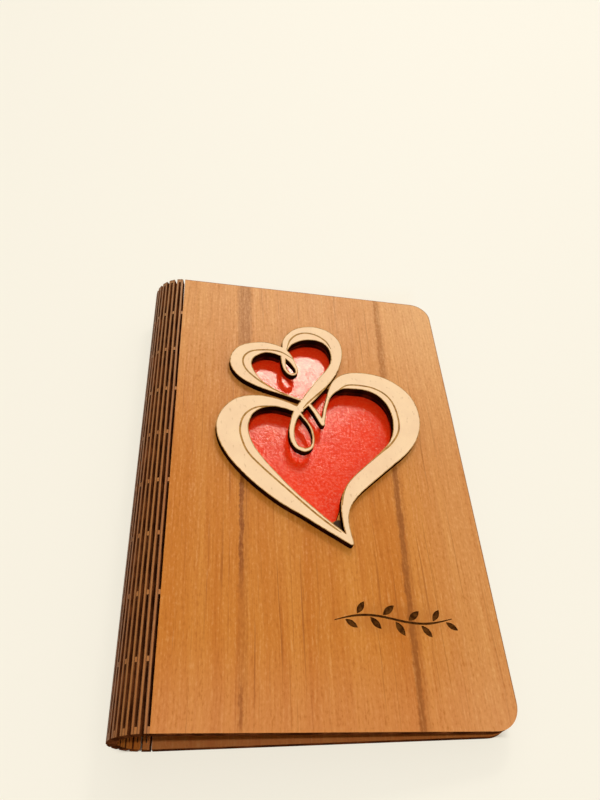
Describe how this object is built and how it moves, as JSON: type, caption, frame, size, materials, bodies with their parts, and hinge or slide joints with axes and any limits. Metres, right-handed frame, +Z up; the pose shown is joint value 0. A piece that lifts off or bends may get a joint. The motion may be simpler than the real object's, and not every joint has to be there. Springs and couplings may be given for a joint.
{
  "type": "wooden greeting card",
  "caption": "Closed wooden greeting card: one sheet bent round a slit living hinge, with a fretwork emblem of entwined hearts glued over windows backed by glossy red card.",
  "frame": {"origin": "middle of the card's box at the level of the surface that the back cover lies on", "axes": "+Z up out of the front cover, +Y along the spine towards the card's head, +X from the spine to the fore-edge"},
  "size_m": [0.1206, 0.178, 0.023],
  "materials": {
    "veneered_board": "satin oiled veneer with laser-burnt edges",
    "pale_board": "matt pale fibreboard with laser-burnt edges",
    "glossy_red_card": "glossy coated card"
  },
  "bodies": {
    "root": {"cover": "veneered_board", "heart_emblem": "pale_board", "red_card": "glossy_red_card"}
  },
  "joints": []
}
